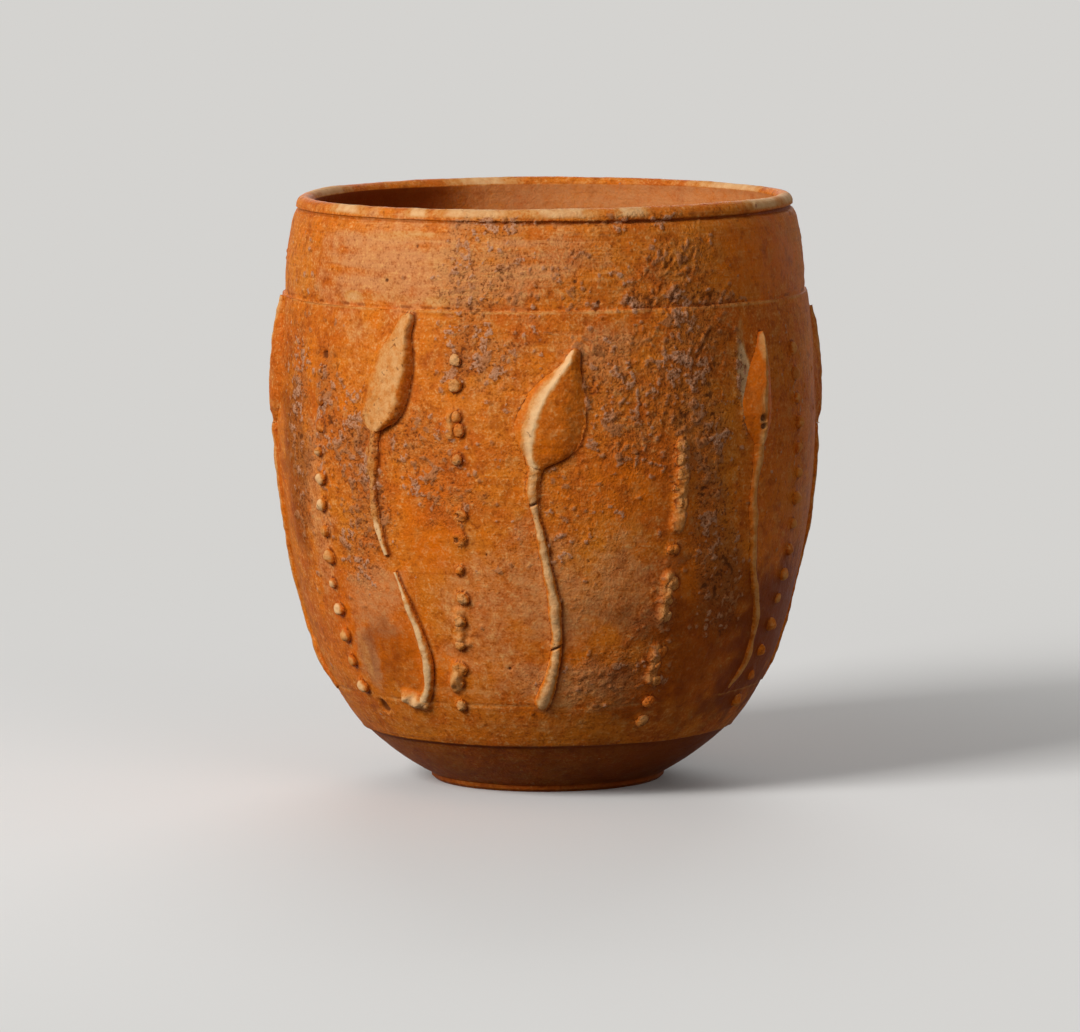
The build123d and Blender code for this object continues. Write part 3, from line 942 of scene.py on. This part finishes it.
def slip_amounts(lump):
    """What the slip carries: worn clay, crust, dark holes and cracks painted with shade, painted shade
    along its shaded edge, and mottled soil.
    """
    node = lump.node
    ragged = 0.6 * lump.noise(2.2, 31) + 0.5 * lump.noise(0.8, 32)
    bare = (leaf_bareness if lump.family == "leaf" else trail_bareness)(lump, ragged)
    holes = 0.6 * ease(0.6, 0.8, lump.noise(0.5, 34)) * ease(0.3, 0.8, bare)
    # Painted shade at the slip's low edge right of its crest, the side away from the light
    shaded = 0.6 * ease(0.35, 0.05, lump.rise) * (lump.azimuth > lump.crest) * (node not in fading)
    area = lump.patched(crust_patches, 0.4 * ragged) * ease(1.0, 0.5, bare)
    area = np.maximum(area, 2 * crumbling.get(node, 0)) * (node not in vivid)
    return dict(
        bare=bare,
        crust=area,
        fleck=ease(0.2, 0.5, 0.7 * lump.noise(0.7, 36) + area - 0.9),
        gaps=np.maximum.reduce([lump.cut, lump.pitted, holes]),
        stain=shaded + 0.25 * ease(0.2, 0.8, lump.noise(3, 35)),
        gloss=np.full(len(bare), vivid.get(node, usual_gloss)),
        salmon=np.zeros(len(bare)),
        smooth=0.8 * np.minimum(bare, 1),
    )


def make_slip(node, material):
    """One node of slip, worn and sunk into the wall, and its points near the wall."""
    lump = Lump(node)
    swell(lump)
    if lump.family == "leaf":
        dome_leaf(lump)
        if lump.name in leaf_draw:
            draw_leaf(lump, *leaf_draw[lump.name])
    lower(lump)
    hollow(lump)
    lump.push(-slip_sink * ease(0.35, 0.0, lump.rise))
    lump.mesh.name = node
    lump.mesh.vertices.foreach_set("co", (lump.points * mm).ravel())
    piece = new_piece("slip_" + node, lump.mesh, material)
    set_amounts(lump.mesh, slip_amounts(lump))
    return piece, lump.points[lump.rise < 0.45]


# Materials


def colour(red, green, blue):
    """A colour as seen on a screen, 0 to 255, as the shader's linear values."""
    return tuple((c / 255) ** 2.2 for c in (red, green, blue)) + (1,)


bright_orange = colour(218, 108, 18)
vivid_orange = colour(220, 104, 8)
golden_orange = colour(214, 121, 36)
red_orange = colour(196, 96, 28)
deep_orange = colour(158, 74, 26)
salmon_clay = colour(206, 136, 84)
speck_buff = colour(230, 166, 98)
speck_dark = colour(132, 60, 20)
dark_brown = colour(104, 41, 10)
buff_clay = colour(200, 124, 58)
pale_buff = colour(214, 150, 88)
cream = colour(236, 194, 142)
crust_lilac = colour(192, 140, 108)
crust_tan = colour(176, 112, 68)
tan_clay = colour(198, 122, 56)
crust_brown = colour(160, 97, 55)
# Colour of painted shade in crevices, hollows, cracks and pits
crevice_shade = colour(88, 46, 24)

# Fields that the clay is coloured by: amounts on the mesh, mostly from 0 to 1
amount_names = ("bare", "crust", "fleck", "gaps", "stain", "gloss", "salmon", "smooth")
# and noise: size of its lumps in millimetres, detail, and how far they are stretched round and up
textures = dict(
    large=(13, 3), cloud=(7, 2), middle=(4, 4), blot=(3.4, 3), spot=(2.6, 3),
    small=(1.5, 4), powder=(0.85, 3), grain=(0.38, 3),
    streak=(0.9, 4, 20, 0.8), brush=(0.5, 3, 5, 0.7), lines=(0.4, 4, 12, 0.8),
)


def layer(over, low, high, top=1.0, where="all", **shares):
    """A colour that comes in from low to high in a sum of fields, up to top, where a field is 1."""
    return over, low, high, top, where, shares


coat_layers = (
    layer(golden_orange, 0.38, 0.62, large=0.5, middle=0.5),
    layer(bright_orange, 0.5, 0.66, 0.9, middle=0.75, small=0.25),
    layer(deep_orange, 0.5, 0.72, 0.5, streak=0.7, middle=0.3),
    layer(vivid_orange, 0.35, 1.1, 0.7, gloss=0.6, middle=0.5, small=0.3),
    layer(tan_clay, 0.5, 0.66, 0.5, spot=0.6, small=0.4),
    layer(deep_orange, 0.49, 0.34, 0.5, blot=0.65, small=0.35),
    # Pale salmon where there is bloom, and where light is painted inside and as a sheen on the lower left
    layer(salmon_clay, 0.36, 0.78, 0.9, small=0.4, grain=0.25, salmon=0.4),
    layer(speck_buff, 0.53, 0.71, 0.76, "rough", crumbs=0.72, brush=0.14, small=0.2),
    layer(speck_dark, 0.53, 0.37, 0.68, "rough", crumbs=0.72, brush=0.12, small=0.22),
    layer(speck_buff, 0.5, 0.7, 0.6, "ringed", lines=1),
    # Dark brown where there is soil, and painted shade in grooves, on the cone, inside on the left and
    # beside the slip
    layer(dark_brown, 0.3, 0.8, 0.85, stain=0.8, middle=0.35),
)
clay_layers = (
    layer(pale_buff, 0.38, 0.62, small=0.6, grain=0.4),
    layer(red_orange, 0.44, 0.3, 0.5, "rough", grain=1),
    layer(cream, 0.95, 1.45, 0.8, bare=1, small=0.3),
)
worn_share = dict(bare=0.75, small=0.25, powder=0.12)
roughness = dict(powder=0.2, crust=0.25, worn=0.1, gloss=-0.14, all=0.48)
sheen = 0.06
relief_depth = 0.19 * mm
relief_strength = 0.8


class Nodes:
    """A node tree under construction: most methods add a node and return its output socket."""

    def __init__(self, tree):
        self.tree = tree

    def add(self, kind, **settings):
        node = self.tree.nodes.new("ShaderNode" + kind)
        for name, value in settings.items():
            setattr(node, name, value)
        return node

    def link(self, socket, value):
        """Gives a socket another socket's output or a plain value."""
        if isinstance(value, bpy.types.NodeSocket):
            self.tree.links.new(value, socket)
        else:
            socket.default_value = value

    def fill(self, node, *values, **named):
        """Gives a node's first inputs in order and others by name, with _ for a space."""
        for socket, value in zip(node.inputs, values):
            self.link(socket, value)
        for name, value in named.items():
            self.link(node.inputs[name.replace("_", " ")], value)
        return node

    def math(self, operation, *values):
        return self.fill(self.add("Math", operation=operation), *values).outputs[0]

    def ease(self, low, high, socket, top=1.0):
        """0 below low and top above high, smooth between."""
        node = self.add("MapRange", interpolation_type="SMOOTHSTEP")
        return self.fill(node, socket, low, high, 0, top).outputs[0]

    def mix(self, share, first, second):
        """From the first colour to the second."""
        node = self.add("Mix", data_type="RGBA")
        self.link(node.inputs["Factor"], share)
        for socket, value in zip((s for s in node.inputs if s.type == "RGBA"), (first, second)):
            self.link(socket, value)
        return next(socket for socket in node.outputs if socket.type == "RGBA")

    def blend(self, share, first, second):
        """From the first shader node to the second."""
        node = self.fill(self.add("MixShader"), share, first.outputs[0], second.outputs[0])
        return node.outputs[0]

    def sees_backdrop(self):
        """1 for rays that show the pale backdrop: from the camera, or by way of gloss or glass."""
        rays = self.add("LightPath").outputs
        mirrored = self.math("MAXIMUM", rays["Is Camera Ray"], rays["Is Glossy Ray"])
        return self.math("MAXIMUM", mirrored, rays["Is Transmission Ray"])


class FiredClay(Nodes):
    """Orange slip coat over buff clay: grainy, mottled, streaked, worn, stained and crusted, with painted
    light and shade.
    """

    def __init__(self, name, streak_relief):
        self.material = bpy.data.materials.new(name)
        self.material.use_nodes = True
        super().__init__(self.material.node_tree)
        self.place = self.scaled(self.add("TexCoord").outputs["Object"], (1 / mm,) * 3)
        field = self.field = dict(all=1)
        for word in amount_names:
            field[word] = self.add("Attribute", attribute_name=word).outputs["Fac"]
        for word, texture in textures.items():
            field[word] = self.noise(*texture)
        field["crumbs"] = self.sum(grain=0.6, powder=0.4)
        field["rough"] = self.sum(smooth=-0.85, gloss=-0.5, all=1)
        field["worn"] = self.ease(0.28, 0.8, self.sum(**worn_share))
        field["buried"] = self.ease(0.2, 0.9, field["crust"])
        field["ringed"] = self.ringed()
        coat, clay = self.layered(red_orange, coat_layers), self.layered(buff_clay, clay_layers)
        self.finish(self.crusted(self.mix(field["worn"], coat, clay)), streak_relief)

    def scaled(self, vector, scale):
        return self.fill(self.add("VectorMath", operation="MULTIPLY"), vector, scale).outputs[0]

    def noise(self, size, detail, stretch_round=1, stretch_up=1):
        """Noise with lumps of about size millimetres."""
        scale = [1 / (size * stretch) for stretch in (stretch_round, stretch_round, stretch_up)]
        vector = self.scaled(self.place, scale)
        return self.fill(self.add("TexNoise"), Vector=vector, Scale=1, Detail=detail).outputs["Fac"]

    def sum(self, **shares):
        total = 0.0
        for word, share in shares.items():
            total = self.math("MULTIPLY_ADD", self.field[word], share, total)
        return total

    def ringed(self):
        """Where pale throwing lines show: rough stretches of the band, mostly under the bloom."""
        split = self.fill(self.add("SeparateXYZ"), Vector=self.place)
        shown = self.ease(ledge_z, ledge_z + 1, split.outputs["Z"])
        stretch = self.ease(0.3, 0.6, self.field["large"])
        for share in (stretch, self.field["rough"], self.sum(salmon=0.7, all=0.3)):
            shown = self.math("MULTIPLY", shown, share)
        return shown

    def layered(self, look, layers):
        """Colours laid over the look one by one."""
        for over, low, high, top, where, shares in layers:
            share = self.math("MULTIPLY", self.ease(low, high, self.sum(**shares), top), self.field[where])
            look = self.mix(share, look, over)
        return look

    def crusted(self, look):
        """Dull soil and grey flecks over the look, with painted shade in crevices between crumbs, hollows,
        cracks and pits.
        """
        deposit = self.layered(crust_tan, [layer(crust_lilac, 0.42, 0.58, cloud=1)])
        grey = self.layered(crust_brown, [layer(deposit, 0.41, 0.57, crumbs=1)])
        return self.layered(look, (
            layer(crust_brown, 0.4, 0.9, 0.5, crust=0.5, small=0.5),
            layer(grey, 0.41, 0.7, 0.9, fleck=0.45, crumbs=0.55),
            # Painted shade in the crevices between crumbs of crust
            layer(crevice_shade, 0.47, 0.36, 0.7, "buried", crumbs=1),
            # Painted shade in hollows, cracks, pits and beside blisters
            layer(crevice_shade, 0.2, 0.8, 0.85, gaps=1),
        ))

    def finish(self, look, streak_relief):
        """Colour, roughness and fine relief of the surface."""
        coarse, fine = self.sum(crust=2, all=0.8), self.sum(grain=0.7, powder=0.7)
        self.field["grit"] = self.math("MULTIPLY", coarse, fine)
        relief = self.sum(grit=1, streak=streak_relief)
        bump = self.fill(self.add("Bump"), Strength=relief_strength, Distance=relief_depth, Height=relief)
        self.fill(self.tree.nodes["Principled BSDF"], Base_Color=look, Roughness=self.sum(**roughness),
                  Specular_IOR_Level=sheen, Normal=bump.outputs["Normal"])


# Stage, light and camera

camera_place = Vector((-1.02, -1137, 172)) * mm
camera_pitch = math.radians(6.5)
camera_roll = math.radians(-0.34)
camera_lens = 235.03
sensor = 36.0
stage_half = 8.0
stage_fade = (0.06, 0.32)
stage_roughness = 0.8
pale = (0.8, 0.79, 0.77, 1)
backdrop = (0.66, 0.65, 0.63, 1)
bounce = (0.08, 0.07, 0.06, 1)
dim_room = (0.12, 0.12, 0.12, 1)


def make_camera():
    """At the photograph's angle, looking slightly down."""
    data = bpy.data.cameras.new("camera")
    data.sensor_fit = "HORIZONTAL"
    data.sensor_width = sensor
    data.lens = camera_lens
    camera = new_thing("camera", data)
    pitched = Matrix.Rotation(math.pi / 2 - camera_pitch, 4, "X")
    rolled = Matrix.Rotation(camera_roll, 4, "Z")
    camera.matrix_world = Matrix.Translation(camera_place) @ pitched @ rolled
    bpy.context.scene.camera = camera


def make_floor():
    """A pale floor that takes the shadow near the cup and fades to an even pale backdrop."""
    corners = np.array([(-1, -1, 0), (1, -1, 0), (1, 1, 0), (-1, 1, 0)]) * stage_half / mm
    face, none = np.array([(0, 1, 2, 3)]), np.zeros((0, 3), int)
    material = bpy.data.materials.new("pale_floor")
    material.use_nodes = True
    n = Nodes(material.node_tree)
    seen = n.sees_backdrop()
    tone = n.mix(seen, bounce, pale)
    surface = n.fill(n.tree.nodes["Principled BSDF"], Base_Color=tone, Roughness=stage_roughness)
    glow = n.fill(n.add("Emission"), Color=backdrop)
    place = n.add("NewGeometry").outputs["Position"]
    reach = n.fill(n.add("VectorMath", operation="LENGTH"), Vector=place)
    share = n.math("MULTIPLY", n.ease(*stage_fade, reach.outputs["Value"]), seen)
    n.fill(n.tree.nodes["Material Output"], Surface=n.blend(share, surface, glow))
    new_object("floor", corners, face, none, material)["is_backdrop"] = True


def make_lamp(name, place, aim, size, power, glint=1.0):
    """A soft square lamp; glint is how strongly it shows in glossy surfaces."""
    data = bpy.data.lights.new(name, "AREA")
    data.size = size
    data.energy = power
    data.specular_factor = glint
    lamp = new_thing(name, data)
    lamp.location = place
    lamp.rotation_euler = (Vector(aim) - Vector(place)).to_track_quat("-Z", "Y").to_euler()


def make_light():
    """A soft key from the upper left, weaker lamps at the right and behind, and a dim even room."""
    centre = (0, 0, height * mm / 2)
    make_lamp("key", (-1.02, -0.86, 0.84), centre, 0.6, 23.3)
    make_lamp("fill", (0.85, -1.2, 0.65), centre, 0.9, 3.4)
    make_lamp("back", (0.05, 1.45, 0.7), centre, 0.9, 7.5, glint=0.2)
    world = bpy.data.worlds.new("room")
    bpy.context.scene.world = world
    world.use_nodes = True
    n = Nodes(world.node_tree)
    room = n.fill(n.tree.nodes["Background"], Color=dim_room)
    behind = n.fill(n.add("Background"), Color=backdrop)
    n.fill(n.tree.nodes["World Output"], Surface=n.blend(n.sees_backdrop(), room, behind))


def main():
    bpy.context.scene.view_settings.view_transform = "Standard"
    coated = FiredClay("coated_clay", streak_relief=0.3).material
    trailed = FiredClay("trailed_slip", streak_relief=0.0).material
    slip_feet = []
    for node in sorted(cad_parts):
        if node == "thrown_body":
            continue
        piece, foot = make_slip(node, trailed)
        slip_feet.append(foot)
        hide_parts(node)
        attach(piece, "root")
    body = make_body(coated, np.concatenate(slip_feet))
    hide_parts("thrown_body")
    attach(body, "root")
    make_floor()
    make_light()
    make_camera()


main()

boxes = {"cad": cad_box, "visual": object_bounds()}
{name: [list(corner) for corner in box] for name, box in boxes.items()}
